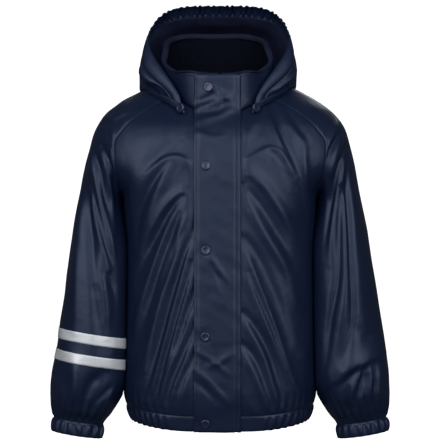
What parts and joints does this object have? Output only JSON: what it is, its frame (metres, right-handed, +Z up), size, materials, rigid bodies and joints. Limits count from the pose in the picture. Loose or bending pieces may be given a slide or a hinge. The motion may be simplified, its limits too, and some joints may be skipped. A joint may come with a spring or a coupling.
{
  "type": "kids raincoat",
  "caption": "Child's hooded raincoat of coated cloth, closed in front, with raglan sleeves, gathered hem and cuffs, a stand collar and reflective bands on one sleeve.",
  "frame": {"origin": "middle of the neck, level with the tops of the shoulders", "axes": "+Z up along the body, +X to the wearer's left, front of the garment facing -Y"},
  "size_m": [0.4728, 0.2757, 0.6089],
  "materials": {
    "coated_cloth": "satin",
    "lining_cloth": "matt fleece",
    "reflective_tape": "retroreflective",
    "lacquered_metal": "gloss"
  },
  "bodies": {
    "root": {"back": "coated_cloth", "collar": "coated_cloth", "collar_lining": "lining_cloth", "cuff_left": "coated_cloth", "cuff_right": "coated_cloth", "front_left": "coated_cloth", "front_right": "coated_cloth", "hem_casing": "coated_cloth", "hood_casing": "coated_cloth", "hood_crown": "coated_cloth", "hood_side_left": "coated_cloth", "hood_side_right": "coated_cloth", "hood_snap_left": "lacquered_metal", "hood_snap_right": "lacquered_metal", "hood_tab_left": "coated_cloth", "hood_tab_right": "coated_cloth", "reflective_band_lower": "reflective_tape", "reflective_band_upper": "reflective_tape", "sleeve_left": "coated_cloth", "sleeve_right": "coated_cloth", "snap_1": "lacquered_metal", "snap_2": "lacquered_metal", "snap_3": "lacquered_metal", "snap_4": "lacquered_metal", "snap_5": "lacquered_metal", "storm_flap": "coated_cloth"}
  },
  "joints": []
}
